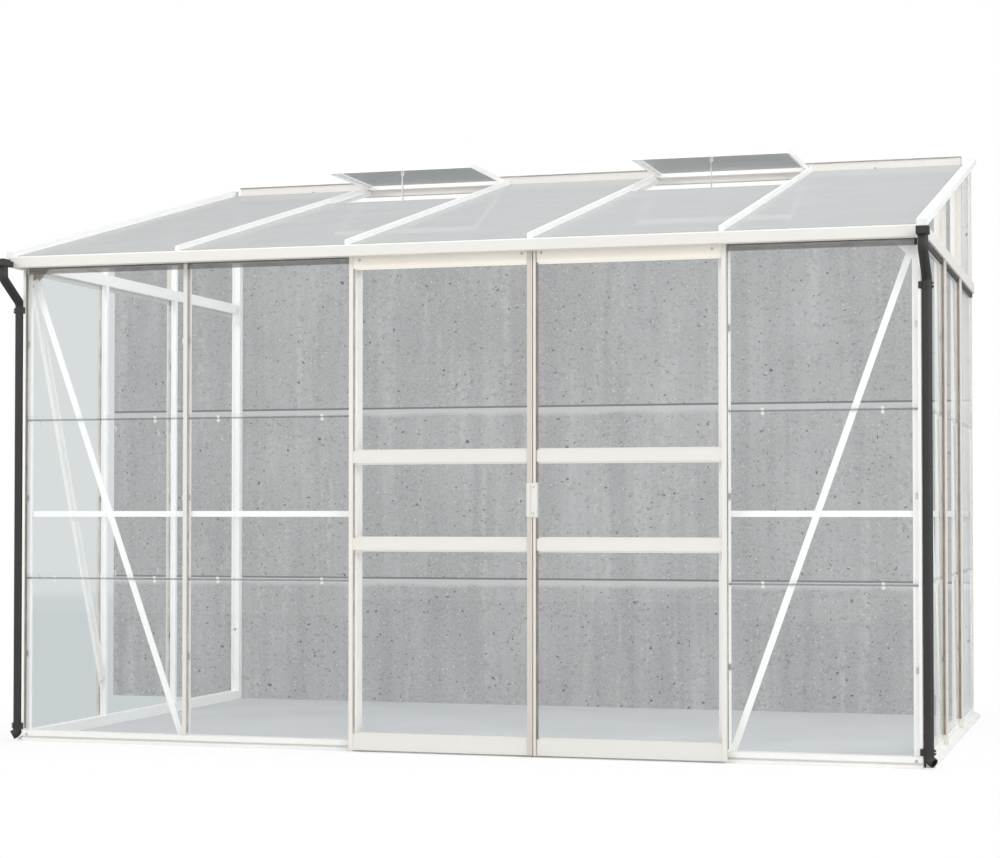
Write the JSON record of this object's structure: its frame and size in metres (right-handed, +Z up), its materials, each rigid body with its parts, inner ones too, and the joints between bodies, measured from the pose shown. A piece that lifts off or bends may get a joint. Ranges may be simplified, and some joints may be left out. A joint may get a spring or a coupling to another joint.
{
  "type": "lean-to greenhouse",
  "caption": "White aluminium lean-to greenhouse for a house wall, with single glass, double sliding doors, roof vents, a built-in gutter and black downpipes.",
  "frame": {"origin": "centre of the overall box, on the ground", "axes": "+X along the house wall to the right as seen from the front, +Y towards the house wall, +Z up"},
  "size_m": [3.2202, 2.05, 2.2109],
  "materials": {
    "white_frame": "satin powder coat",
    "glass": "clear float glass",
    "black_pipe": "matt",
    "rubber_seal": "matt",
    "nylon": "matt",
    "bright_metal": "zinc plated"
  },
  "bodies": {
    "root": {"front_sill": "white_frame", "side_sills": "white_frame", "corner_posts": "white_frame", "wall_posts": "white_frame", "front_glazing_bar": "white_frame", "door_jambs": "white_frame", "gable_bars": "white_frame", "gable_upper_bars": "white_frame", "eaves_beam": "white_frame", "gutter_end_caps": "white_frame", "gable_eaves_rails": "white_frame", "end_rafters": "white_frame", "roof_bars": "white_frame", "wall_bar": "white_frame", "front_mid_rails": "white_frame", "gable_mid_rails": "white_frame", "front_braces": "white_frame", "gable_braces": "white_frame", "corner_gussets": "white_frame", "vent_sills": "white_frame", "front_panes": "glass", "left_gable_panes": "glass", "right_gable_panes": "glass", "roof_panes": "glass", "lap_clips": "white_frame", "glazing_clips": "bright_metal", "eaves_seals": "rubber_seal", "wall_flashing": "rubber_seal", "frame_bolts": "bright_metal", "gutter_outlets": "black_pipe", "downpipe_necks": "black_pipe", "downpipes": "black_pipe", "downpipe_shoes": "black_pipe", "pipe_clips": "black_pipe", "door_stops": "rubber_seal", "vent_hinge_brackets": "bright_metal", "stay_pegs": "bright_metal"},
    "left_door": {"left_door_stiles": "white_frame", "left_door_rails": "white_frame", "left_door_panes": "glass", "left_door_hangers": "bright_metal", "left_door_guides": "nylon", "door_handle": "white_frame"},
    "right_door": {"right_door_stiles": "white_frame", "right_door_rails": "white_frame", "right_door_panes": "glass", "right_door_hangers": "bright_metal", "right_door_guides": "nylon"},
    "left_door_roller_a": {"left_door_roller_a": "nylon"},
    "left_door_roller_b": {"left_door_roller_b": "nylon"},
    "right_door_roller_a": {"right_door_roller_a": "nylon"},
    "right_door_roller_b": {"right_door_roller_b": "nylon"},
    "left_vent": {"left_vent_frame": "white_frame", "left_vent_pane": "glass"},
    "left_vent_stay": {"left_vent_stay": "bright_metal"},
    "right_vent": {"right_vent_frame": "white_frame", "right_vent_pane": "glass"},
    "right_vent_stay": {"right_vent_stay": "bright_metal"}
  },
  "joints": [
    {"name": "left_door_slide", "type": "slide", "parent": "root", "child": "left_door", "axis": [-1, 0, 0], "range_m": [0, 0.59]},
    {"name": "right_door_slide", "type": "slide", "parent": "root", "child": "right_door", "axis": [1, 0, 0], "range_m": [0, 0.59]},
    {"name": "left_door_roller_a_spin", "type": "hinge", "parent": "left_door", "child": "left_door_roller_a", "pos_m": [-0.292, -0.909, 1.6852], "axis": [0, -1, 0], "range_deg": [0, 3676]},
    {"name": "left_door_roller_b_spin", "type": "hinge", "parent": "left_door", "child": "left_door_roller_b", "pos_m": [0.2675, -0.909, 1.6852], "axis": [0, -1, 0], "range_deg": [0, 3676]},
    {"name": "right_door_roller_a_spin", "type": "hinge", "parent": "right_door", "child": "right_door_roller_a", "pos_m": [0.3505, -0.909, 1.6852], "axis": [0, 1, 0], "range_deg": [0, 3676]},
    {"name": "right_door_roller_b_spin", "type": "hinge", "parent": "right_door", "child": "right_door_roller_b", "pos_m": [0.91, -0.909, 1.6852], "axis": [0, 1, 0], "range_deg": [0, 3676]},
    {"name": "left_vent_hinge", "type": "hinge", "parent": "root", "child": "left_vent", "pos_m": [-0.634, 0.981, 2.18339], "axis": [-1, 0, 0], "range_deg": [-13.8, 16]},
    {"name": "left_vent_stay_pivot", "type": "hinge", "parent": "left_vent", "child": "left_vent_stay", "pos_m": [-0.634, 0.529, 2.16539], "axis": [-1, 0, 0], "range_deg": [-16.5, 14.3]},
    {"name": "right_vent_hinge", "type": "hinge", "parent": "root", "child": "right_vent", "pos_m": [0.626, 0.981, 2.18339], "axis": [-1, 0, 0], "range_deg": [-13.8, 16]},
    {"name": "right_vent_stay_pivot", "type": "hinge", "parent": "right_vent", "child": "right_vent_stay", "pos_m": [0.626, 0.529, 2.16539], "axis": [-1, 0, 0], "range_deg": [-16.5, 14.3]}
  ],
  "couplings": [
    {"joint": "left_door_roller_a_spin", "follows": "left_door_slide", "rad_per_m": 108.7},
    {"joint": "left_door_roller_b_spin", "follows": "left_door_slide", "rad_per_m": 108.7},
    {"joint": "right_door_roller_a_spin", "follows": "right_door_slide", "rad_per_m": 108.7},
    {"joint": "right_door_roller_b_spin", "follows": "right_door_slide", "rad_per_m": 108.7},
    {"joint": "left_vent_stay_pivot", "follows": "left_vent_hinge", "ratio": -1},
    {"joint": "right_vent_stay_pivot", "follows": "right_vent_hinge", "ratio": -1}
  ]
}
